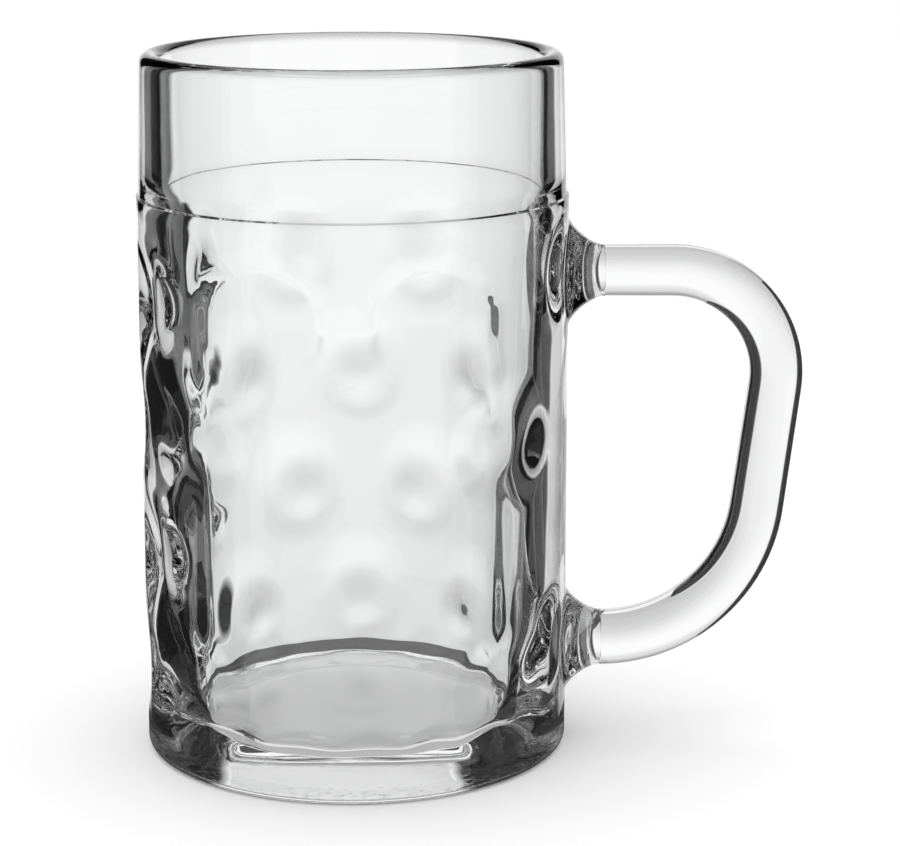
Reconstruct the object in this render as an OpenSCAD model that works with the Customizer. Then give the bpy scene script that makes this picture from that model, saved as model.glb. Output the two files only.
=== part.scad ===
// Dimpled glass beer mug: a pressed and blown body with two lugs, and a handle welded to them.
// The mug's axis is Z, the table is z = 0, and the handle points along +X.
// The plain panel faces -Y and the dimples go round the rest of the wall in staggered rows.

/* [Body] */
// Height from the table to the top of the rim
mug_height = 185; // [176:1:200]
// Outer diameter of the dimpled wall
body_diameter = 112.5; // [108:0.5:118]
// Thickness of the dimpled wall just below the ledge, between the dimples
body_wall = 7; // [6.4:0.1:8.5]
// Thickness of the dimpled wall at the height of the floor
foot_wall = 12; // [9:0.1:13.5]
// Thickness of the solid base at the axis
base_thickness = 10.9; // [9.5:0.1:14]
// Radius of the rounded outer corner at the foot
foot_round = 2.5; // [2:0.1:4]
// Radius of the rounded corner between the floor and the wall inside
floor_round = 4; // [3:0.5:8]
// Rise of the floor at the axis above its edge
floor_rise = 1.6; // [0.8:0.1:2.4]

/* [Foot ring] */
// Inner diameter of the flat ring that stands on the table, where the hollow under the base starts
ring_inner_diameter = 98; // [88:0.5:100]
// Depth of the domed hollow under the base
hollow_depth = 1.6; // [1:0.1:2.5]

/* [Rim band] */
// Height of the ledge where the dimpled wall ends and the smooth band starts
ledge_height = 148.5; // [142:0.5:154]
// Height of the sloping face of the ledge
ledge_slope = 0.4; // [0.3:0.1:1.5]
// Outer diameter of the band just above the ledge
band_diameter = 111.2; // [107:0.1:111.6]
// Outer diameter of the band at the rim
rim_diameter = 109.2; // [106:0.1:111]
// Thickness of the band just above the ledge
band_wall = 5.9; // [5:0.1:7]
// Thickness of the glass at the rim
rim_wall = 5.2; // [4:0.1:6]

/* [Dimples] */
// Places round the wall in one row, counting those left plain
places_per_row = 8; // [7:1:9]
// Number of rows
dimple_rows = 4; // [3:1:4]
// Height of the lowest row's centres
first_row_height = 24.5; // [22:0.5:27]
// Distance from one row to the next
row_pitch = 32.5; // [30:0.5:34]
// Height of a dimple on the outer face
dimple_height = 30; // [24:0.5:32]
// Depth of a dimple on the outer face
dimple_depth = 3; // [1.5:0.1:3.2]
// Height of the swelling inside, behind a dimple
swelling_height = 22; // [20:0.5:26]
// How far the swelling stands into the mug
swelling_depth = 2.5; // [0.8:0.1:2.8]
// Angle each side of the panel's middle that has no dimples
panel_clear_angle = 35; // [30:1:40]
// Angle each side of the handle that has no dimples
handle_clear_angle = 35; // [30:1:40]

/* [Panel] */
// Width of the plain panel
panel_width = 72; // [60:1:76]
// Height of the panel's lower edge
panel_foot_height = 18; // [15:0.5:24]
// Height of the centres of the two arches at the panel's top
arch_height = 122; // [112:0.5:126]
// Radius of each arch
arch_radius = 15; // [12:0.5:17]
// Distance of each arch's centre from the panel's middle
arch_offset = 21; // [18:0.5:24]
// Depth of the panel below the wall
panel_depth = 0.5; // [0.3:0.1:1]

/* [Lugs] */
// Height of the upper lug's centre
upper_lug_height = 127.5; // [122:0.5:130]
// Height of the lower lug's centre
lower_lug_height = 27.4; // [25:0.2:32]
// Diameter of a lug where it leaves the wall
lug_root_diameter = 27; // [24:0.5:28]
// Distance from the mug's axis to the weld between lug and handle
weld_reach = 65.7; // [64:0.1:68]

/* [Handle] */
// Distance from the mug's axis to the outermost side of the handle
handle_reach = 118; // [112:1:126]
// Rod diameter of the handle's upper half
upper_rod_diameter = 13.4; // [12:0.2:16]
// Rod diameter of the handle's lower half
lower_rod_diameter = 14.6; // [13:0.2:17]
// Radius of the upper bend along the middle of the rod
upper_bend = 27.4; // [24:0.2:30]
// Radius of the lower bend along the middle of the rod
lower_bend = 41.6; // [38:0.2:45]

/* [Hidden] */
$fn = 96;
// Cutters run this far past the faces that they cut
overrun = 4;
// Straight lengths of rod run this far into the bends, and are slimmer than them by the step
rod_lap = 0.6;
rod_step = 0.04;
glass_colour = [0.86, 0.92, 0.94, 0.45];
handle_colour = [0.80, 0.88, 0.91, 0.55];

handle_angle = 0;
panel_angle = 270;
back_angle = 90;
place_step = 360 / places_per_row;

body_r = body_diameter / 2;
bore_r = body_r - body_wall;
foot_bore_r = body_r - foot_wall;
band_r = band_diameter / 2;
band_bore_r = band_r - band_wall;
rim_r = rim_diameter / 2;
rim_bore_r = rim_r - rim_wall;
rim_round = rim_wall / 2;
rim_base = mug_height - rim_round;
floor_edge = base_thickness - floor_rise;
ledge_foot = ledge_height - ledge_slope;

// Radius of the ball whose cap has this width and depth
function cap_radius(width, depth) = (width * width / 4 + depth * depth) / (2 * depth);
hollow_ball = cap_radius(ring_inner_diameter, hollow_depth);
dimple_ball = cap_radius(dimple_height, dimple_depth);
swelling_ball = cap_radius(swelling_height, swelling_depth);

// Radius of the inside at a height below the ledge; the wall thickens towards the floor
function bore_at(height) =
    foot_bore_r + (bore_r - foot_bore_r) * (height - base_thickness) / (ledge_height - base_thickness);
fillet_height = floor_edge + floor_round;
fillet_bore_r = bore_at(fillet_height);

// Smallest turn from one direction to another
function turn_between(a, b) = abs((a - b + 540) % 360 - 180);
function is_plain(angle) =
    turn_between(angle, panel_angle) < panel_clear_angle
    || turn_between(angle, handle_angle) < handle_clear_angle;
function row_height(row) = first_row_height + row * row_pitch;
// Odd rows stand half a place round from the even ones
function row_start(row) = back_angle + (row % 2) * place_step / 2;
function row_angles(row) = [
    for (place = [0 : places_per_row - 1])
        let (angle = (row_start(row) + place * place_step) % 360)
            if (!is_plain(angle)) angle
];

upper_rod_r = upper_rod_diameter / 2;
lower_rod_r = lower_rod_diameter / 2;
upper_bend_centre = [handle_reach - upper_rod_r - upper_bend, upper_lug_height - upper_bend];
lower_bend_centre = [weld_reach, lower_lug_height + lower_bend];
bend_gap = norm(lower_bend_centre - upper_bend_centre);
bend_drop = upper_bend_centre[1] - lower_bend_centre[1];
bend_shift = upper_bend_centre[0] - lower_bend_centre[0];
// Angle below level at which the straight grip leaves the upper bend and meets the lower one
grip_angle = atan2(bend_shift, bend_drop) - asin((lower_bend - upper_bend) / bend_gap);
grip_length = sqrt(bend_gap * bend_gap - (lower_bend - upper_bend) * (lower_bend - upper_bend));
upper_arm_length = upper_bend_centre[0] - weld_reach;

// Half outline of the outside, from the axis under the base to the axis above the rim
module outer_outline() {
    polygon([
        [0, 0],
        [body_r - foot_round, 0],
        [body_r - foot_round, foot_round],
        [body_r, foot_round],
        [body_r, ledge_foot],
        [band_r, ledge_height],
        [rim_r, rim_base],
        [rim_r - rim_round, rim_base],
        [rim_r - rim_round, mug_height],
        [0, mug_height]
    ]);
    translate([body_r - foot_round, foot_round]) circle(r = foot_round);
    translate([rim_r - rim_round, rim_base]) circle(r = rim_round);
}

// Half outline of the space inside, open at the rim
module bore_outline() {
    difference() {
        polygon([
            [0, base_thickness],
            [fillet_bore_r - floor_round, floor_edge],
            [fillet_bore_r - floor_round, fillet_height],
            [fillet_bore_r, fillet_height],
            [bore_at(ledge_foot), ledge_foot],
            [band_bore_r, ledge_height],
            [rim_bore_r, rim_base],
            [rim_bore_r + rim_round, rim_base],
            [rim_bore_r + rim_round, mug_height + overrun],
            [0, mug_height + overrun]
        ]);
        translate([rim_bore_r + rim_round, rim_base]) circle(r = rim_round);
    }
    translate([fillet_bore_r - floor_round, fillet_height]) circle(r = floor_round);
}

// Puts what it is given at the middle of every dimple of a row, with its +X pointing outwards
module at_row(row, reach) {
    for (angle = row_angles(row))
        rotate([0, 0, angle]) translate([reach, 0, row_height(row)]) children();
}

module dimple_cuts() {
    for (row = [0 : dimple_rows - 1])
        at_row(row, body_r - dimple_depth + dimple_ball) sphere(r = dimple_ball);
}

module swellings() {
    for (row = [0 : dimple_rows - 1])
        at_row(row, bore_at(row_height(row)) - swelling_depth + swelling_ball) sphere(r = swelling_ball);
}

// Plain panel with a double arch at its top, cut to an even depth below the wall
module panel_cut() {
    intersection() {
        rotate([90, 0, 0]) linear_extrude(height = body_r + overrun) panel_outline();
        difference() {
            cylinder(r = body_r + overrun, h = mug_height);
            cylinder(r = body_r - panel_depth, h = mug_height);
        }
    }
}

module panel_outline() {
    translate([-panel_width / 2, panel_foot_height])
        square([panel_width, arch_height - panel_foot_height]);
    for (side = [-1, 1])
        translate([side * arch_offset, arch_height]) circle(r = arch_radius);
}

// Flared lug from inside the wall to the weld, where it has the rod's radius
module lug(height, rod_r) {
    flare = weld_reach - body_r;
    spread = lug_root_diameter / 2 - rod_r;
    flare_r = (flare * flare + spread * spread) / (2 * spread);
    translate([0, 0, height]) rotate([0, 90, 0]) rotate_extrude()
        difference() {
            translate([0, body_r - body_wall / 2])
                square([lug_root_diameter / 2, weld_reach - body_r + body_wall / 2]);
            translate([rod_r + flare_r, weld_reach]) circle(r = flare_r);
        }
}

module body() {
    color(glass_colour) difference() {
        union() {
            difference() {
                rotate_extrude() outer_outline();
                translate([0, 0, hollow_depth - hollow_ball]) sphere(r = hollow_ball);
                dimple_cuts();
                panel_cut();
            }
            lug(upper_lug_height, upper_rod_r);
            lug(lower_lug_height, lower_rod_r);
        }
        difference() {
            rotate_extrude() bore_outline();
            swellings();
        }
    }
}

// Bent piece of rod in the XZ plane, from one angle above level through a turn upwards
module bend(centre, bend_r, rod_r, start, turn) {
    translate([centre[0], 0, centre[1]]) rotate([90, 0, 0]) rotate([0, 0, start])
        rotate_extrude(angle = turn) translate([bend_r, 0]) circle(r = rod_r);
}

module handle() {
    grip_turn = 90 + grip_angle;
    color(handle_colour) {
        translate([weld_reach, 0, upper_lug_height]) rotate([0, 90, 0])
            cylinder(r = upper_rod_r - rod_step, h = upper_arm_length + rod_lap);
        bend(upper_bend_centre, upper_bend, upper_rod_r, -grip_angle, grip_turn);
        translate([upper_bend_centre[0], 0, upper_bend_centre[1]]) rotate([0, grip_angle, 0])
            translate([upper_bend, 0, rod_lap]) rotate([180, 0, 0])
                cylinder(r1 = upper_rod_r - rod_step, r2 = lower_rod_r - rod_step, h = grip_length + 2 * rod_lap);
        bend(lower_bend_centre, lower_bend, lower_rod_r, -90, 90 - grip_angle);
    }
}

body();
handle();
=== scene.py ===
"""Dimpled glass beer mug: the body with its dimples and lugs, the welded handle, and a plain studio."""
import math

import bmesh
import bpy
from bpy.props import FloatProperty, FloatVectorProperty, IntProperty, PointerProperty
from mathutils import Matrix, Vector


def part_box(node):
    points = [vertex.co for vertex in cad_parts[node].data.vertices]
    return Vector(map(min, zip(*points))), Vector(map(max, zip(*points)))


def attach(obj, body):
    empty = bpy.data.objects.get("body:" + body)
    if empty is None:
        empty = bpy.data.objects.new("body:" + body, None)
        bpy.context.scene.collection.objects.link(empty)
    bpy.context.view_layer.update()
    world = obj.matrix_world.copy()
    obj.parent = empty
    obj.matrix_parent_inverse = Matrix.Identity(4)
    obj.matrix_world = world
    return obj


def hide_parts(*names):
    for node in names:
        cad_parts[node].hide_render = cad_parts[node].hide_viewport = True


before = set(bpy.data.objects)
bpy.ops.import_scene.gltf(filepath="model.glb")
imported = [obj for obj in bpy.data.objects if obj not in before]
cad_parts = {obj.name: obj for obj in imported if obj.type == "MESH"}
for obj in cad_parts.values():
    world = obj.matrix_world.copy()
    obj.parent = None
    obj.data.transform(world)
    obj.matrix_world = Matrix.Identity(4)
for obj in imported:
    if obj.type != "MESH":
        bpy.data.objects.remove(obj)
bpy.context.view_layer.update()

bl_info = {
    "name": "Dimpled glass beer mug",
    "version": (1, 0, 0),
    "blender": (4, 5, 0),
    "location": "3D View > Sidebar > Mug",
    "description": "Models a dimpled beer mug of clear glass with its handle, and a plain studio for it",
    "category": "Object",
}

# Angle above the middle of the view in degrees, and brightness of the backdrop there. Below the middle the
# brightness falls as painted shade that stands in for the table in the mug's shadow behind it, and it is
# darker again towards the ceiling.
BACKDROP_LEVELS = (
    (-45, 0.5), (-25, 0.6), (-14, 0.68), (-8, 0.77), (-3.5, 0.86), (1, 0.93), (5, 0.98),
    (9, 1.0), (18, 1.0), (30, 0.75), (45, 0.3))
MM = 0.001
# Points closer together than this are one point
MERGE = 0.01 * MM
# Faces that meet at less than this are shaded as one smooth face
SMOOTH_ANGLE = math.radians(50)
# Steps in the corners of the ledge and the foot, in a full round, and in the floor from edge to axis
LEDGE_STEPS = 6
FOOT_STEPS = 8
ROUND_STEPS = 16
FLOOR_STEPS = 40
# Share of the wall's thickness within which a point belongs to its inner face
NEAR_WALL = 0.3
# Middle of the waves in the floor's corner, as a share of the corner's round
WAVE_PLACE = 0.3
# Turn in radians from one wave of the floor's corner to the next that keeps their heights from repeating
UNEVEN_TURN = 2.4
# Share of a wave's height that changes from one wave to the next
UNEVEN_SHARE = 0.4
# Share of the wall's radius past which a face is on the handle side
HANDLE_SIDE = 0.8
# Opening in the wall and skirt round a lug, over the lug's root, and the rings in its flare
LUG_OPENING = 1.2
LUG_SKIRT = 1.12
LUG_STEPS = 16
# Sides of the handle's rod, and steps in its top, upper bend, grip and lower bend
ROD_SIDES = 64
TOP_STEPS = 12
UPPER_STEPS = 24
GRIP_STEPS = 14
LOWER_STEPS = 28
# Sides of a round of the table
TABLE_SIDES = 96
BODY_LOW, BODY_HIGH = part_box("body")
HANDLE_LOW, HANDLE_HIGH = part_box("handle")


def length(name, description, default):
    """A size in metres that the sidebar shows with its unit."""
    return FloatProperty(name=name, description=description, default=default, unit="LENGTH", precision=5)


def share(name, description, default):
    """A number between nought and one."""
    return FloatProperty(name=name, description=description, default=default, min=0.0, max=1.0)


def number(name, description, default):
    """A plain number."""
    return FloatProperty(name=name, description=description, default=default)


def count(name, description, default):
    """A whole number of at least one."""
    return IntProperty(name=name, description=description, default=default, min=1)


def angle(name, description, degrees):
    """An angle that the sidebar shows in degrees."""
    return FloatProperty(name=name, description=description, default=math.radians(degrees), subtype="ANGLE")


def colour(name, description, default):
    """A colour that the sidebar shows as a swatch."""
    return FloatVectorProperty(
        name=name, description=description, default=default, subtype="COLOR", size=3, min=0.0, max=1.0)


class MUG_PG_body(bpy.types.PropertyGroup):
    """Sizes of the glass body."""

    height: length("Height", "From the table to the top of the rim", BODY_HIGH[2])
    radius: length("Wall radius", "Outside of the dimpled wall", -BODY_LOW[0])
    wall: length("Wall", "Thickness of the dimpled wall just below the ledge", 7.0 * MM)
    foot_wall: length("Foot wall", "Thickness of the wall at the height of the floor", 12.0 * MM)
    base: length("Base", "Thickness of the solid base at the axis", 10.9 * MM)
    floor_rise: length("Floor rise", "How far the floor rises towards the axis", 1.6 * MM)
    floor_round: length("Floor corner", "Round of the corner between floor and wall", 4 * MM)
    corner_waves: count("Corner waves", "Waves round the corner of the floor", 17)
    corner_wave: length("Corner wave", "Height of the highest of those waves", 1.3 * MM)
    corner_reach: length("Corner reach", "Radius of one of those waves", 8 * MM)
    foot_round: length("Foot corner", "Round of the outer corner at the foot", 2.5 * MM)
    ring_radius: length("Foot ring", "Inner radius of the ring that stands on the table", 49 * MM)
    hollow: length("Hollow", "Depth of the hollow under the base", 1.6 * MM)
    ledge: length("Ledge", "Height of the ledge above the dimples", 148.5 * MM)
    ledge_slope: length("Ledge slope", "Height of the ledge's sloping face", 0.4 * MM)
    bore_step: length("Bore step", "Half the height over which the inside widens at the ledge", 3 * MM)
    ledge_round: length("Ledge corner", "Round of the ledge's two corners", 0.15 * MM)
    band_radius: length("Band radius", "Outside of the smooth band above the ledge", 55.6 * MM)
    rim_radius: length("Rim radius", "Outside of the band at the rim", 54.6 * MM)
    band_wall: length("Band wall", "Thickness of the band above the ledge", 5.9 * MM)
    rim_wall: length("Rim wall", "Thickness of the glass at the rim", 5.2 * MM)
    columns: count("Columns", "Faces round the wall", 240)
    spacing: length("Spacing", "Height of a face on the wall", 1.35 * MM)


class MUG_PG_dimples(bpy.types.PropertyGroup):
    """Places and sizes of the dimples, the swellings behind them and the plain panel."""

    places: count("Places", "Places round the wall in one row", 8)
    rows: count("Rows", "Number of rows", 4)
    first: length("Lowest row", "Height of the lowest row's centres", 24.5 * MM)
    pitch: length("Row pitch", "Distance from one row to the next", 32.5 * MM)
    reach: length("Dimple radius", "Radius of a dimple's bell", 18.5 * MM)
    depth: length("Dimple depth", "Depth of a dimple at its middle", 3.4 * MM)
    swell_reach: length("Swelling radius", "Radius of the swelling inside", 11 * MM)
    swell_depth: length("Swelling depth", "How far the swelling stands into the mug", 3.0 * MM)
    beside_panel: share("Beside the panel", "Share of the swelling's depth next to the panel", 0.45)
    beside_angle: angle("Beside angle", "Angle from the panel's middle that counts as next to it", 60)
    panel_clear: angle("Panel clear", "Angle each side of the panel's middle without dimples", 35)
    handle_clear: angle("Handle clear", "Angle each side of the handle without dimples", 35)
    panel_half: length("Panel half width", "Half the width of the plain panel", 36 * MM)
    panel_foot: length("Panel foot", "Height of the panel's lower edge", 18 * MM)
    panel_depth: length("Panel depth", "Depth of the panel below the wall", 0.6 * MM)
    panel_edge: length("Panel edge", "Width of the soft edge round the panel", 5 * MM)
    arch_height: length("Arch height", "Height of the centres of the two arches", 122 * MM)
    arch_radius: length("Arch radius", "Radius of each arch", 15 * MM)
    arch_offset: length("Arch offset", "Distance of each arch from the panel's middle", 21 * MM)
    arch_step: length("Arch step", "Depth of the crisp edge along the two arches", 0.4 * MM)
    arch_edge: length("Arch edge", "Half the width of that crisp edge", 1.2 * MM)
    arch_fade: length("Arch fade", "Height over which the crisp edge fades in", 14 * MM)


class MUG_PG_handle(bpy.types.PropertyGroup):
    """Sizes of the lugs and of the handle welded to them."""

    weld: length("Weld", "Distance from the mug's axis to the welds", HANDLE_LOW[0])
    upper: length("Upper lug", "Height of the upper lug", 127.5 * MM)
    lower: length("Lower lug", "Height of the lower lug", 27.4 * MM)
    root: length("Lug root", "Radius of a lug where it leaves the wall", 14.5 * MM)
    flare: number("Flare", "Fullness of a lug's flare, 2 for a round one", 1.5)
    reach: length("Reach", "Distance from the axis to the outermost side", HANDLE_HIGH[0])
    upper_rod: length("Upper rod", "Radius of the rod above", 6.7 * MM)
    lower_rod: length("Lower rod", "Radius of the rod below", 7.3 * MM)
    upper_bend: length("Upper bend", "Radius of the upper bend", 27.4 * MM)
    lower_bend: length("Lower bend", "Radius of the lower bend", 41.6 * MM)
    fullness: number("Fullness", "2 for a round rod, more for a squarer one", 2.5)
    lap: length("Lap", "How far the handle's ends stand in the lugs", 0.2 * MM)


class MUG_PG_glass(bpy.types.PropertyGroup):
    """Looks of the glass."""

    tint: colour("Tint", "Colour that the glass lets through", (0.99, 0.995, 0.993))
    ior: number("IOR", "Refraction of soda-lime glass", 1.52)
    ripple: length("Ripple", "Height of the faint waves in the pressed surface", 0.05 * MM)
    body_waves: number("Body waves", "Waves in a metre of the body", 55.0)
    handle_waves: number("Handle waves", "Waves in a metre of the handle", 70.0)
    wear: share("Wear", "Roughness of the worn foot", 0.35)
    wear_height: length("Wear height", "How far up the foot the wear reaches", 1.2 * MM)
    wear_scale: number("Wear scale", "Fineness of the scratches in the wear", 600.0)


class MUG_PG_stage(bpy.types.PropertyGroup):
    """Camera, floor, light and the cards round the mug."""

    camera_distance: length("Camera distance", "From the mug's axis, along the floor", 0.72)
    camera_height: length("Camera height", "Above the table", 0.2528)
    camera_turn: angle("Camera turn", "Round the mug from straight in front towards the handle", 2.0)
    camera_drop: angle("Camera drop", "How far below level the camera looks", 13.02)
    aim_turn: angle("Aim turn", "How far right of the axis the camera looks", 2.01)
    lens: number("Lens", "Focal length in millimetres", 111.4)
    view_depth: length("View depth", "How far the camera sees", 50.0)
    bounces: count("Bounces", "How often light turns inside the thick base", 12)
    floor_half: length("Floor", "Half the side of the floor", 6.0)
    floor_colour: colour("Floor colour", "Colour of the pale floor", (0.99, 0.99, 0.99))
    world_level: number("World", "Strength of the white surround", 1.0)
    lamp_height: length("Lamp height", "Height of the soft lamp over the mug", 1.6)
    lamp_size: length("Lamp size", "Diameter of the soft lamp", 1.6)
    lamp_power: FloatProperty(
        name="Lamp power", description="Power of the soft lamp", default=6.0, unit="POWER")
    card_aside: length("Card distance", "Distance of the dark cards from the middle of the view", 1.0)
    card_behind: length("Card end", "How far behind the mug the dark cards end", 0.3)
    card_half: length("Card height", "Half the height of the dark cards", 1.6)
    card_level: number("Card level", "Brightness of the dark cards", 0.01)
    grey_front: length("Grey front", "How far before the mug the grey cards beside it reach", 0.35)
    grey_level: number("Grey level", "Brightness of the grey cards", 0.15)
    left_soft: angle("Left edge", "Where the left card starts to darken", 22.0)
    left_dark: angle("Left dark", "Where the left card is dark", 25.0)
    right_soft: angle("Right edge", "Where the right card starts to darken", 26.0)
    right_dark: angle("Right dark", "Where the right card is dark", 29.5)
    backdrop_far: length("Backdrop", "How far behind the mug the backdrop stands", 4.5)
    backdrop_half: length("Backdrop size", "Half the side of the backdrop", 6.0)
    backdrop_tilt: angle("Backdrop tilt", "Turn of the backdrop's shading towards the left", 8.0)
    table_drop: length("Table drop", "How far under the foot the table lies", 0.4 * MM)
    table_gap: length("Table gap", "From one round of the table down to the next", 0.1 * MM)
    table_radius: length("Table", "Radius of the white table that shows through the base", 54 * MM)
    shadow_radius: length("Table shadow", "Radius of the dark ring on the table round the base", 70 * MM)
    shadow_level: number("Shadow level", "Brightness of that dark ring", 0.05)
    shade_radius: length("Table shade", "Radius of the shaded middle of the table under the base", 47 * MM)
    shade_level: number("Shade level", "Brightness of the table's middle", 0.45)
    table_level: number("Table level", "Brightness of the table under the base", 0.8)
    front_behind: length("Front card", "How far behind the camera the front card stands", 0.3)
    front_level: number("Front level", "Brightness of the front card", 0.75)


def activate(piece):
    """Makes one object the only selected and the active one."""
    bpy.ops.object.select_all(action="DESELECT")
    piece.select_set(True)
    bpy.context.view_layer.objects.active = piece


def start_edit(piece, mode="VERT"):
    """Goes into edit mode with nothing selected."""
    activate(piece)
    bpy.ops.object.mode_set(mode="EDIT")
    bpy.ops.mesh.select_mode(type=mode)
    bpy.ops.mesh.select_all(action="DESELECT")


def end_edit():
    """Goes back to object mode."""
    bpy.ops.object.mode_set(mode="OBJECT")


def pick(piece, test):
    """Selects the shown vertices whose place passes the test."""
    bpy.ops.mesh.select_all(action="DESELECT")
    cage = bmesh.from_edit_mesh(piece.data)
    for vert in cage.verts:
        if not vert.hide and test(vert.co):
            vert.select = True
    cage.select_flush(True)
    bmesh.update_edit_mesh(piece.data, loop_triangles=False, destructive=False)


def require_closed(piece):
    """Raises an error where the glass has an open edge."""
    cage = bmesh.new()
    cage.from_mesh(piece.data)
    gaps = sum(not edge.is_manifold for edge in cage.edges)
    cage.free()
    if gaps:
        raise RuntimeError(f"{piece.name} has {gaps} open edges")


def ease(value):
    """Soft step from nought to one."""
    value = min(1.0, max(0.0, value))
    return value ** 2 * (3 - 2 * value)


def arc(centre, radius, start, end, steps):
    """Points on a circle from one angle to another, in degrees, both ends included."""
    turn = [math.radians(start + (end - start) * i / steps) for i in range(steps + 1)]
    return [(centre[0] + radius * math.cos(t), centre[1] + radius * math.sin(t)) for t in turn]


def run(start, end, spacing):
    """Points on a straight line, the first left out and the last included."""
    steps = max(1, round(math.dist(start, end) / spacing))
    return [
        (start[0] + (end[0] - start[0]) * i / steps, start[1] + (end[1] - start[1]) * i / steps)
        for i in range(1, steps + 1)
    ]


def follow(points, spacing):
    """Joins corner points and ready-made arcs into one evenly stepped line."""
    line = [points[0]]
    for point in points[1:]:
        if isinstance(point, list):
            line += run(line[-1], point[0], spacing)
            line += point[1:]
        else:
            line += run(line[-1], point, spacing)
    return line


def bent(before, corner, after, radius, steps):
    """Rounds the corner between two straight lines."""
    b, c, a = Vector(before), Vector(corner), Vector(after)
    back, on = (b - c).normalized(), (a - c).normalized()
    half = back.angle(on) / 2
    centre = c + (back + on).normalized() * radius / math.sin(half)
    reach = radius / math.tan(half)
    start, end = c + back * reach - centre, c + on * reach - centre
    turn = start.angle_signed(end)
    return [tuple(centre + Matrix.Rotation(-turn * i / steps, 2) @ start) for i in range(steps + 1)]


def bore_at(size, height):
    """Radius of the inside at a height below the ledge; the wall thickens towards the floor."""
    share_up = (height - size.base) / (size.ledge - size.base)
    return size.radius - size.foot_wall + (size.foot_wall - size.wall) * share_up


def ledge_corners(size):
    """The ledge outside: a rounded shoulder, a short slope and a crease at the foot of the band."""
    low = (size.radius, 0.0)
    shoulder = (size.radius, size.ledge - size.ledge_slope)
    crease = (size.band_radius, size.ledge)
    high = (size.rim_radius, size.height)
    return [
        bent(low, shoulder, crease, size.ledge_round, LEDGE_STEPS),
        bent(shoulder, crease, high, size.ledge_round, LEDGE_STEPS),
    ]


def dome(radius, edge, rise, steps):
    """Points of a shallow dome, from the axis out to its edge."""
    parts = [i / steps for i in range(steps + 1)]
    return [(radius * part, edge + rise * (1.0 - part ** 2)) for part in parts]


def body_outline(size):
    """Half section of the glass, from the axis under the base, over the rim, to the axis on the floor."""
    rim_round = size.rim_wall / 2
    rim_middle = (size.rim_radius - rim_round, size.height - rim_round)
    floor_edge = size.base - size.floor_rise
    corner_height = floor_edge + size.floor_round
    floor_corner = (bore_at(size, corner_height) - size.floor_round, corner_height)
    foot_corner = (size.radius - size.foot_round, size.foot_round)
    step_foot = size.ledge - size.bore_step
    floor = dome(floor_corner[0], floor_edge, size.floor_rise, FLOOR_STEPS)
    return follow([
        *dome(size.ring_radius, 0.0, size.hollow, ROUND_STEPS),
        arc(foot_corner, size.foot_round, -90, 0, FOOT_STEPS),
        *ledge_corners(size),
        arc(rim_middle, rim_round, 0, 180, ROUND_STEPS),
        (size.band_radius - size.band_wall, size.ledge + size.bore_step),
        (bore_at(size, step_foot), step_foot),
        arc(floor_corner, size.floor_round, 0, -90, ROUND_STEPS),
        *reversed(floor[:-1]),
    ], size.spacing)


def draw_outline(context, name, outline):
    """Extrudes one vertex from point to point along the half section, and stays in edit mode."""
    bpy.ops.object.select_all(action="DESELECT")
    bpy.ops.mesh.primitive_plane_add(calc_uvs=False)
    piece = context.active_object
    piece.name = piece.data.name = name
    start_edit(piece)
    bpy.ops.mesh.select_all(action="SELECT")
    bpy.ops.mesh.merge(type="CENTER")
    for index, (radius, height) in enumerate(outline):
        if index:
            bpy.ops.mesh.extrude_vertices_move()
        cage = bmesh.from_edit_mesh(piece.data)
        for vert in cage.verts:
            if vert.select:
                vert.co = (radius, 0.0, height)
        bmesh.update_edit_mesh(piece.data)
    return piece


def apart(turn, other):
    """Angle between two directions round the axis."""
    return abs((turn - other + math.pi) % (2 * math.pi) - math.pi)


def from_panel(turn):
    """Angle between a direction and the middle of the plain panel."""
    return apart(turn, -math.pi / 2)


def plain_there(dimples, turn):
    """True where the panel or the handle leaves no room for a dimple."""
    return from_panel(turn) < dimples.panel_clear or apart(turn, 0.0) < dimples.handle_clear


def dimple_places(dimples):
    """Angle and height of every dimple's middle, row by row from the foot."""
    step = 2 * math.pi / dimples.places
    for row in range(dimples.rows):
        start = math.pi / 2 + (row % 2) * step / 2
        for place in range(dimples.places):
            turn = start + place * step
            if not plain_there(dimples, turn):
                yield turn, dimples.first + row * dimples.pitch


def press(piece, turn, height, radius, depth, reach):
    """Pushes the wall towards the axis round one place, in a soft bell."""
    out = Vector((math.cos(turn), math.sin(turn), 0.0))
    middle = out * radius + Vector((0.0, 0.0, height))
    bpy.ops.mesh.select_all(action="DESELECT")
    cage = bmesh.from_edit_mesh(piece.data)
    nearest = min((v for v in cage.verts if not v.hide), key=lambda v: (v.co - middle).length_squared)
    nearest.select = True
    cage.select_flush(True)
    bmesh.update_edit_mesh(piece.data, loop_triangles=False, destructive=False)
    bpy.ops.transform.translate(
        value=-out * depth, orient_type="GLOBAL", use_proportional_edit=True,
        proportional_edit_falloff="SMOOTH", proportional_size=reach)


def show_only(piece, test):
    """Hides every vertex that fails the test, so the next moves leave it alone."""
    bpy.ops.mesh.reveal(select=False)
    pick(piece, test)
    bpy.ops.mesh.hide(unselected=True)


def on_outside(size, point):
    """True on the outside of the dimpled wall."""
    middle_wall = size.radius - size.wall / 2
    high = size.ledge - size.ledge_slope
    return size.foot_round < point.z < high and math.hypot(point.x, point.y) > middle_wall


def on_inside(size, point):
    """True on the inside of the dimpled wall."""
    off_bore = abs(math.hypot(point.x, point.y) - bore_at(size, point.z))
    return size.base < point.z < size.ledge - size.ledge_slope and off_bore < size.wall * NEAR_WALL


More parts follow.
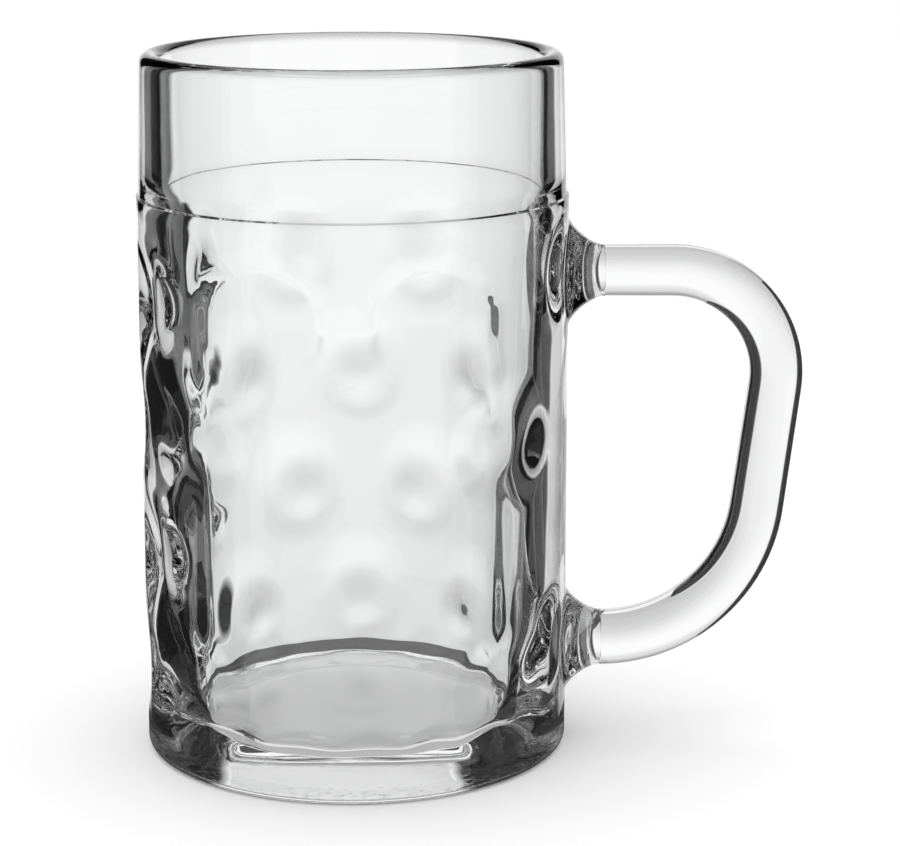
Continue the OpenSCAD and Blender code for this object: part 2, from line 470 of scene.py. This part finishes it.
def press_dimples(piece, size, dimples):
    """Presses the dimples into the outside, and the swellings behind them into the inside."""
    show_only(piece, lambda p: on_outside(size, p))
    for turn, height in dimple_places(dimples):
        press(piece, turn, height, size.radius, dimples.depth, dimples.reach)
    show_only(piece, lambda p: on_inside(size, p))
    for turn, height in dimple_places(dimples):
        beside = from_panel(turn) < dimples.beside_angle
        depth = dimples.swell_depth * (dimples.beside_panel if beside else 1.0)
        press(piece, turn, height, bore_at(size, height), depth, dimples.swell_reach)
    bpy.ops.mesh.reveal(select=False)


def wave_floor(piece, size):
    """Leaves the corner of the floor a little uneven, as blown glass is."""
    edge = size.base - size.floor_rise
    height = edge + size.floor_round * WAVE_PLACE
    radius = bore_at(size, edge) - size.floor_round * WAVE_PLACE
    low, high = size.base / 2, edge + size.floor_round + 2 * size.corner_reach
    bore = size.radius - size.wall
    show_only(piece, lambda p: low < p.z < high and math.hypot(p.x, p.y) < bore)
    for wave in range(size.corner_waves):
        turn = 2 * math.pi * wave / size.corner_waves
        uneven = 1.0 - UNEVEN_SHARE + UNEVEN_SHARE * math.sin(UNEVEN_TURN * wave)
        press(piece, turn, height, radius, size.corner_wave * uneven, size.corner_reach)
    bpy.ops.mesh.reveal(select=False)


def in_panel(dimples, point):
    """True inside the plain panel's outline, seen from the front."""
    if point.y > 0.0:
        return False
    side = abs(point.x)
    if side < dimples.panel_half and dimples.panel_foot < point.z < dimples.arch_height:
        return True
    return math.hypot(side - dimples.arch_offset, point.z - dimples.arch_height) < dimples.arch_radius


def press_panel(piece, size, dimples):
    """Sinks the plain panel a little below the wall, with a soft edge."""
    show_only(piece, lambda p: on_outside(size, p))
    pick(piece, lambda p: in_panel(dimples, p))
    bpy.ops.transform.shrink_fatten(
        value=-dimples.panel_depth, use_proportional_edit=True,
        proportional_edit_falloff="SMOOTH", proportional_size=dimples.panel_edge)
    bpy.ops.mesh.reveal(select=False)


def cut_arches(piece, size, dimples):
    """Gives the panel's top a crisp edge along its two arches, on finer faces."""
    middle_wall = size.radius - size.wall / 2
    past = dimples.arch_radius + 2 * dimples.arch_edge
    low, high = dimples.arch_height - dimples.arch_fade, dimples.arch_height + past
    side = dimples.arch_offset + past

    def near(p):
        in_front = p.y < 0.0 and abs(p.x) < side and low < p.z < high
        return in_front and math.hypot(p.x, p.y) > middle_wall

    pick(piece, near)
    bpy.ops.mesh.subdivide(number_cuts=1)
    cage = bmesh.from_edit_mesh(piece.data)
    for vert in cage.verts:
        if near(vert.co):
            x, z = abs(vert.co.x) - dimples.arch_offset, vert.co.z - dimples.arch_height
            inside = dimples.arch_radius - math.hypot(x, z)
            fade = min(1.0, (vert.co.z - low) / dimples.arch_fade)
            sink = dimples.arch_step * ease(0.5 + inside / (2 * dimples.arch_edge)) * fade ** 2
            vert.co -= Vector((vert.co.x, vert.co.y, 0.0)).normalized() * sink
    bmesh.update_edit_mesh(piece.data)
    bpy.ops.mesh.select_all(action="DESELECT")


def lug_rings(handle, rod):
    """Radius and lift of each ring from the wall to the weld; lift is 0 on the wall and 1 at the weld."""
    rings = [(handle.root * LUG_SKIRT, 0.0), (handle.root, 0.0)]
    for i in range(1, LUG_STEPS + 1):
        lift = 1.0 - math.cos(0.5 * math.pi * i / LUG_STEPS)
        rest = 1.0 - (1.0 - lift) ** handle.flare
        spread = 1.0 - rest ** (1.0 / handle.flare)
        rings.append((rod + (handle.root - rod) * spread, lift))
    return rings


def open_wall(piece, size, half, height):
    """Deletes a square of the wall's outside on the handle side, and selects the edge it leaves."""
    cage = bmesh.from_edit_mesh(piece.data)
    for face in cage.faces:
        middle = face.calc_center_median()
        outside = math.hypot(middle.x, middle.y) > size.radius - size.wall / 2
        in_square = abs(middle.y) < half and abs(middle.z - height) < half
        face.select = outside and in_square and middle.x > size.radius * HANDLE_SIDE
    bmesh.update_edit_mesh(piece.data)
    bpy.ops.mesh.delete(type="FACE")
    bpy.ops.mesh.select_mode(type="EDGE")
    bpy.ops.mesh.select_all(action="DESELECT")
    cage = bmesh.from_edit_mesh(piece.data)
    for edge in cage.edges:
        edge.select = edge.is_boundary
    bmesh.update_edit_mesh(piece.data)


def raise_lug(piece, size, handle, height, rod):
    """Opens a square in the wall and draws its edge out, ring by ring, into a flared lug."""
    start_edit(piece, "FACE")
    open_wall(piece, size, handle.root * LUG_OPENING, height)
    for ring_radius, lift in lug_rings(handle, rod):
        bpy.ops.mesh.extrude_edges_move()
        cage = bmesh.from_edit_mesh(piece.data)
        for vert in cage.verts:
            if vert.select:
                around = math.atan2(vert.co.z - height, vert.co.y)
                y = ring_radius * math.cos(around)
                wall_x = math.sqrt(size.radius ** 2 - y ** 2)
                x = wall_x + lift * (handle.weld - wall_x)
                vert.co = (x, y, height + ring_radius * math.sin(around))
        bmesh.update_edit_mesh(piece.data)
    bpy.ops.mesh.edge_face_add()
    end_edit()


def turn_faces_out(piece):
    """Makes every face of a closed piece point outwards."""
    start_edit(piece)
    bpy.ops.mesh.select_all(action="SELECT")
    bpy.ops.mesh.normals_make_consistent(inside=False)
    end_edit()


class MUG_OT_body(bpy.types.Operator):
    """Spin the glass body, press its dimples and panel, and draw out its lugs"""

    bl_idname = "mug.body"
    bl_label = "Glass body"

    def execute(self, context):
        scene = context.scene
        size, dimples, handle = scene.mug_body, scene.mug_dimples, scene.mug_handle
        look = scene.mug_glass
        piece = draw_outline(context, "glass_body", body_outline(size))
        bpy.ops.mesh.select_all(action="SELECT")
        bpy.ops.mesh.spin(steps=size.columns, angle=2 * math.pi, center=(0, 0, 0), axis=(0, 0, 1))
        bpy.ops.mesh.select_all(action="SELECT")
        bpy.ops.mesh.remove_doubles(threshold=MERGE)
        bpy.ops.mesh.normals_make_consistent(inside=False)
        press_dimples(piece, size, dimples)
        wave_floor(piece, size)
        press_panel(piece, size, dimples)
        cut_arches(piece, size, dimples)
        end_edit()
        raise_lug(piece, size, handle, handle.upper, handle.upper_rod)
        raise_lug(piece, size, handle, handle.lower, handle.lower_rod)
        turn_faces_out(piece)
        activate(piece)
        bpy.ops.object.shade_smooth_by_angle(angle=SMOOTH_ANGLE)
        require_closed(piece)
        piece.data.materials.append(clear_glass("body_glass", look, look.body_waves))
        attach(piece, "root")
        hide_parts("body")
        return {"FINISHED"}


def around_bend(centre, radius, start, end, steps, last):
    """Stations round one bend of the handle, the last one left out where the rod goes on."""
    turns = [start + (end - start) * i / steps for i in range(steps + last)]
    places = [centre + radius * Vector((math.cos(turn), math.sin(turn))) for turn in turns]
    return [(place.x, place.y, turn - math.pi / 2) for place, turn in zip(places, turns)]


def along_rod(start, end, heading, steps):
    """Stations along a straight stretch of the handle, its end left out."""
    places = [start.lerp(end, i / steps) for i in range(steps)]
    return [(place.x, place.y, heading) for place in places]


def handle_path(handle):
    """Stations down the middle of the rod, from the upper weld: place in XZ and heading in radians."""
    upper = Vector((handle.reach - handle.upper_rod - handle.upper_bend, handle.upper - handle.upper_bend))
    lower = Vector((handle.weld, handle.lower + handle.lower_bend))
    gap = (lower - upper).length
    slant = math.atan2(upper.x - lower.x, upper.y - lower.y)
    slant -= math.asin((handle.lower_bend - handle.upper_bend) / gap)
    out = Vector((math.cos(slant), -math.sin(slant)))
    grip_top, grip_foot = upper + handle.upper_bend * out, lower + handle.lower_bend * out
    first = Vector((handle.weld - handle.lap, handle.upper))
    top_end = Vector((upper.x, handle.upper))
    down = -math.pi / 2
    return [
        *along_rod(first, top_end, 0.0, TOP_STEPS),
        *around_bend(upper, handle.upper_bend, -down, -slant, UPPER_STEPS, 0),
        *along_rod(grip_top, grip_foot, down - slant, GRIP_STEPS),
        *around_bend(lower, handle.lower_bend, -slant, down, LOWER_STEPS, 1),
        (lower.x - handle.lap, handle.lower, -math.pi),
    ]


def place_ring(piece, section, handle, rod, station):
    """Puts the selected ring of the rod in its place, a little squarer than round."""
    x, z, heading = station
    turn = Matrix.Rotation(-heading, 4, "Y")
    power = handle.fullness
    cage = bmesh.from_edit_mesh(piece.data)
    ring = [vert for vert in cage.verts if vert.select]
    for vert, around in zip(ring, section):
        full = (abs(around.y) ** power + abs(around.z) ** power) ** (-1 / power)
        flat = Vector((0.0, around.y * full * rod, around.z * full * rod))
        vert.co = turn @ flat + Vector((x, 0.0, z))
    bmesh.update_edit_mesh(piece.data)


class MUG_OT_handle(bpy.types.Operator):
    """Draw the handle's rod from the upper weld round to the lower one"""

    bl_idname = "mug.handle"
    bl_label = "Handle"

    def execute(self, context):
        scene = context.scene
        handle, look = scene.mug_handle, scene.mug_glass
        stations = handle_path(handle)
        bpy.ops.object.select_all(action="DESELECT")
        bpy.ops.mesh.primitive_circle_add(
            vertices=ROD_SIDES, radius=1.0, fill_type="NGON", rotation=(0, math.pi / 2, 0))
        piece = context.active_object
        piece.name = piece.data.name = "glass_handle"
        bpy.ops.object.transform_apply(location=True, rotation=True, scale=True)
        start_edit(piece)
        bpy.ops.mesh.select_all(action="SELECT")
        section = [vert.co.copy() for vert in bmesh.from_edit_mesh(piece.data).verts]
        last = len(stations) - 1
        for index, station in enumerate(stations):
            if index:
                bpy.ops.mesh.extrude_region_move()
            rod = handle.upper_rod + (handle.lower_rod - handle.upper_rod) * index / last
            place_ring(piece, section, handle, rod, station)
        end_edit()
        turn_faces_out(piece)
        activate(piece)
        bpy.ops.object.shade_smooth_by_angle(angle=SMOOTH_ANGLE)
        require_closed(piece)
        piece.data.materials.append(clear_glass("handle_glass", look, look.handle_waves))
        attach(piece, "root")
        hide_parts("handle")
        return {"FINISHED"}


def add_node(tree, kind, place, **inputs):
    """Adds a node with values on its named sockets."""
    node = tree.nodes.new(kind)
    node.location = place
    for name, value in inputs.items():
        node.inputs[name.replace("_", " ")].default_value = value
    return node


def pressed_surface():
    """Node group shared by the glass: faint waves of pressed glass, and wear where it stands on tables."""
    group = bpy.data.node_groups.get("pressed_surface")
    if group:
        return group
    group = bpy.data.node_groups.new("pressed_surface", "ShaderNodeTree")
    faces = group.interface
    for name in ("Wave Scale", "Wear Height", "Wear Scale"):
        faces.new_socket(name, in_out="INPUT", socket_type="NodeSocketFloat")
    for name in ("Ripple", "Wear"):
        faces.new_socket(name, in_out="OUTPUT", socket_type="NodeSocketFloat")
    start = add_node(group, "NodeGroupInput", (-900, 0))
    end = add_node(group, "NodeGroupOutput", (600, 0))
    place = add_node(group, "ShaderNodeTexCoord", (-900, 300))
    waves = add_node(group, "ShaderNodeTexNoise", (-500, 300), Detail=1.0, Roughness=0.4)
    scratches = add_node(group, "ShaderNodeTexNoise", (-500, 0), Detail=4.0, Roughness=0.7)
    split = add_node(group, "ShaderNodeSeparateXYZ", (-500, -250))
    foot = add_node(group, "ShaderNodeMapRange", (-200, -250), To_Min=1.0, To_Max=0.0)
    patchy = add_node(group, "ShaderNodeMapRange", (-200, 0), From_Min=0.45, From_Max=0.65)
    worn = add_node(group, "ShaderNodeMath", (100, -100))
    worn.operation = "MULTIPLY"
    link = group.links.new
    link(place.outputs["Object"], waves.inputs["Vector"])
    link(place.outputs["Object"], scratches.inputs["Vector"])
    link(place.outputs["Object"], split.inputs["Vector"])
    link(start.outputs["Wave Scale"], waves.inputs["Scale"])
    link(start.outputs["Wear Scale"], scratches.inputs["Scale"])
    link(split.outputs["Z"], foot.inputs["Value"])
    link(start.outputs["Wear Height"], foot.inputs["From Max"])
    link(scratches.outputs["Fac"], patchy.inputs["Value"])
    link(patchy.outputs["Result"], worn.inputs[0])
    link(foot.outputs["Result"], worn.inputs[1])
    link(waves.outputs["Fac"], end.inputs["Ripple"])
    link(worn.outputs["Value"], end.inputs["Wear"])
    return group


def clear_glass(name, look, wave_scale):
    """Clear pressed glass with faint waves in its surface and a worn foot."""
    material = bpy.data.materials.new(name)
    material.use_nodes = True
    tree = material.node_tree
    shader = tree.nodes["Principled BSDF"]
    shader.inputs["Base Color"].default_value = (*look.tint, 1.0)
    shader.inputs["IOR"].default_value = look.ior
    shader.inputs["Transmission Weight"].default_value = 1.0
    surface = add_node(tree, "ShaderNodeGroup", (-700, 0))
    surface.node_tree = pressed_surface()
    surface.inputs["Wave Scale"].default_value = wave_scale
    surface.inputs["Wear Height"].default_value = look.wear_height
    surface.inputs["Wear Scale"].default_value = look.wear_scale
    bump = add_node(tree, "ShaderNodeBump", (-300, -200), Strength=1.0, Distance=look.ripple)
    rough = add_node(tree, "ShaderNodeMapRange", (-300, 100), To_Min=0.0, To_Max=look.wear)
    tree.links.new(surface.outputs["Ripple"], bump.inputs["Height"])
    tree.links.new(bump.outputs["Normal"], shader.inputs["Normal"])
    tree.links.new(surface.outputs["Wear"], rough.inputs["Value"])
    tree.links.new(rough.outputs["Result"], shader.inputs["Roughness"])
    return material


def light_world(scene, stage):
    """Sets the white surround."""
    scene.world = bpy.data.worlds.new("studio_white")
    scene.world.use_nodes = True
    back = scene.world.node_tree.nodes["Background"]
    back.inputs["Color"].default_value = (1.0, 1.0, 1.0, 1.0)
    back.inputs["Strength"].default_value = stage.world_level


def floor_material(stage):
    """Dull pale paint for the floor."""
    material = bpy.data.materials.new("studio_floor")
    material.use_nodes = True
    shader = material.node_tree.nodes["Principled BSDF"]
    shader.inputs["Base Color"].default_value = (*stage.floor_colour, 1.0)
    shader.inputs["Roughness"].default_value = 1.0
    shader.inputs["Specular IOR Level"].default_value = 0.0
    return material


def even_glow(name, level):
    """Even glow for a card or for the table under the mug."""
    material = bpy.data.materials.new(name)
    material.use_nodes = True
    tree = material.node_tree
    tree.nodes.clear()
    out = add_node(tree, "ShaderNodeOutputMaterial", (600, 0))
    glow = add_node(tree, "ShaderNodeEmission", (400, 0), Strength=level)
    glow.name = "Glow"
    tree.links.new(glow.outputs["Emission"], out.inputs["Surface"])
    return material


def level_along(tree, axis, start, end, first, last):
    """Adds a value that changes along one of the object's own directions."""
    place = add_node(tree, "ShaderNodeTexCoord", (-400, 0))
    split = add_node(tree, "ShaderNodeSeparateXYZ", (-200, 0))
    level = add_node(
        tree, "ShaderNodeMapRange", (0, 0), From_Min=start, From_Max=end, To_Min=first, To_Max=last)
    tree.links.new(place.outputs["Object"], split.inputs["Vector"])
    tree.links.new(split.outputs[axis], level.inputs["Value"])
    return level.outputs["Result"]


def fading_glow(name, start, end, first, last):
    """Glow that changes with the distance ahead of the camera."""
    material = even_glow(name, first)
    tree = material.node_tree
    level = level_along(tree, "Z", start, end, first, last)
    tree.links.new(level, tree.nodes["Glow"].inputs["Strength"])
    return material


def backdrop_glow(stage):
    """White behind the mug, with painted shade that darkens it towards the table, standing in for the table
    in the mug's shadow, and darker towards the ceiling.
    """
    material = even_glow("backdrop", 1.0)
    tree = material.node_tree
    level = level_along(tree, "Y", -stage.backdrop_half, stage.backdrop_half, 0.0, 1.0)
    ramp = add_node(tree, "ShaderNodeValToRGB", (200, 200))
    ramp.color_ramp.interpolation = "EASE"
    stops = ramp.color_ramp.elements
    for degrees, value in BACKDROP_LEVELS:
        rise = stage.backdrop_far * math.tan(math.radians(degrees)) / stage.backdrop_half
        stops.new(0.5 + rise / 2).color = (value, value, value, 1.0)
    stops.remove(stops[-1])
    stops.remove(stops[0])
    tree.links.new(level, ramp.inputs["Fac"])
    tree.links.new(ramp.outputs["Color"], tree.nodes["Glow"].inputs["Color"])
    return material


def show_in_glass(card, material):
    """Paints a card or a round of the table, and lets it show only in the glass."""
    card.name = card.data.name = material.name
    card.data.materials.append(material)
    card.visible_camera = False
    card.visible_shadow = False
    card.visible_diffuse = False


def add_card(context, camera, width, height, place, material):
    """A plain card that stays with the camera."""
    bpy.ops.object.select_all(action="DESELECT")
    bpy.ops.mesh.primitive_plane_add(size=1.0)
    card = context.active_object
    card.data.transform(place @ Matrix.Diagonal((width, height, 1.0, 1.0)))
    card.parent = camera
    show_in_glass(card, material)
    return card


def set_camera(context, stage):
    """Sets the camera where the photograph was taken from."""
    turn, distance = stage.camera_turn, stage.camera_distance
    spot = (distance * math.sin(turn), -distance * math.cos(turn), stage.camera_height)
    bpy.ops.object.select_all(action="DESELECT")
    bpy.ops.object.camera_add(location=spot)
    camera = context.active_object
    camera.name = "photo_camera"
    camera.data.lens = stage.lens
    camera.data.clip_end = stage.view_depth
    camera.rotation_euler = (math.pi / 2 - stage.camera_drop, 0.0, turn - stage.aim_turn)
    context.scene.camera = camera
    return camera


def lay_floor(context, stage):
    """Lays the pale floor, which takes the mug's shadow and doesn't show in the glass."""
    bpy.ops.object.select_all(action="DESELECT")
    bpy.ops.mesh.primitive_plane_add(size=2 * stage.floor_half)
    floor = context.active_object
    floor.name = "studio_floor"
    floor.data.materials.append(floor_material(stage))
    floor.visible_transmission = False
    floor.visible_glossy = False


def lay_table(context, stage):
    """Lays the rounds of the table that the glass shows under the mug, the smallest one on top."""
    rounds = (
        ("table_shade", stage.shade_radius, stage.shade_level),
        ("table_ring", stage.table_radius, stage.table_level),
        ("table_shadow", stage.shadow_radius, stage.shadow_level),
    )
    for index, (name, radius, level) in enumerate(rounds):
        place = (0.0, 0.0, -stage.table_drop - index * stage.table_gap)
        bpy.ops.object.select_all(action="DESELECT")
        bpy.ops.mesh.primitive_circle_add(
            vertices=TABLE_SIDES, radius=radius, fill_type="NGON", location=place)
        show_in_glass(context.active_object, even_glow(name, level))


def hang_lamp(context, stage):
    """Hangs the soft lamp over the mug."""
    bpy.ops.object.select_all(action="DESELECT")
    bpy.ops.object.light_add(type="AREA", location=(0.0, 0.0, stage.lamp_height))
    lamp = context.active_object
    lamp.name = "overhead_lamp"
    lamp.data.shape = "DISK"
    lamp.data.size = stage.lamp_size
    lamp.data.energy = stage.lamp_power
    lamp.visible_transmission = False
    lamp.visible_glossy = False


def stand_cards(context, stage, camera):
    """Stands a dark and a grey card on each side, the backdrop behind and the front card before the mug."""
    ahead = stage.camera_distance
    tall, wide = 2 * stage.card_half, 2 * stage.backdrop_half
    near, end = -ahead - stage.card_behind, -ahead + stage.grey_front
    upright = Matrix.Rotation(math.pi / 2, 4, "Y")
    for name, aside, soft, sharp in (
            ("left", -stage.card_aside, stage.left_soft, stage.left_dark),
            ("right", stage.card_aside, stage.right_soft, stage.right_dark)):
        far = -ahead - stage.card_aside / math.tan(soft)
        dark = -ahead - stage.card_aside / math.tan(sharp)
        place = Matrix.Translation((aside, 0.0, (far + near) / 2)) @ upright
        paint = fading_glow("dark_card_" + name, far, dark, 1.0, stage.card_level)
        add_card(context, camera, near - far, tall, place, paint)
        place = Matrix.Translation((aside, 0.0, (near + end) / 2)) @ upright
        add_card(context, camera, end - near, tall, place, even_glow("grey_card_" + name, stage.grey_level))
    place = Matrix.Translation((0.0, 0.0, -ahead - stage.backdrop_far))
    backdrop = add_card(context, camera, wide, wide, place, backdrop_glow(stage))
    backdrop.rotation_euler = (0.0, 0.0, stage.backdrop_tilt)
    place = Matrix.Translation((0.0, 0.0, stage.front_behind))
    add_card(context, camera, 2 * tall, 2 * tall, place, even_glow("front_card", stage.front_level))


class MUG_OT_stage(bpy.types.Operator):
    """Set the camera, the pale floor, the white surround and the cards round the mug"""

    bl_idname = "mug.stage"
    bl_label = "Studio"

    def execute(self, context):
        scene = context.scene
        stage = scene.mug_stage
        scene.view_settings.view_transform = "Standard"
        scene.cycles.max_bounces = stage.bounces
        scene.cycles.glossy_bounces = stage.bounces
        scene.cycles.transmission_bounces = stage.bounces
        light_world(scene, stage)
        camera = set_camera(context, stage)
        lay_floor(context, stage)
        lay_table(context, stage)
        hang_lamp(context, stage)
        stand_cards(context, stage, camera)
        return {"FINISHED"}


class MUG_PT_sidebar(bpy.types.Panel):
    """Sizes and steps of the mug."""

    bl_label = "Glass mug"
    bl_idname = "MUG_PT_sidebar"
    bl_space_type = "VIEW_3D"
    bl_region_type = "UI"
    bl_category = "Mug"

    def draw(self, context):
        column = self.layout.column()
        for step in STEPS:
            column.operator(step.bl_idname)
        for group in GROUPS:
            values = getattr(context.scene, group)
            box = column.box()
            box.label(text=type(values).__doc__)
            for key in type(values).__annotations__:
                box.prop(values, key)


GROUPS = {
    "mug_body": MUG_PG_body,
    "mug_dimples": MUG_PG_dimples,
    "mug_handle": MUG_PG_handle,
    "mug_glass": MUG_PG_glass,
    "mug_stage": MUG_PG_stage,
}
STEPS = (MUG_OT_body, MUG_OT_handle, MUG_OT_stage)


def register():
    """Registers the classes and puts the sizes on the scene."""
    for cls in (*GROUPS.values(), *STEPS, MUG_PT_sidebar):
        bpy.utils.register_class(cls)
    for name, cls in GROUPS.items():
        setattr(bpy.types.Scene, name, PointerProperty(type=cls))


def unregister():
    """Takes the sizes and the classes away again."""
    for name in GROUPS:
        delattr(bpy.types.Scene, name)
    for cls in reversed((*GROUPS.values(), *STEPS, MUG_PT_sidebar)):
        bpy.utils.unregister_class(cls)


def main():
    """Builds the pieces and the stage in order."""
    register()
    bpy.ops.mug.body()
    bpy.ops.mug.handle()
    bpy.ops.mug.stage()


if __name__ == "__main__":
    main()
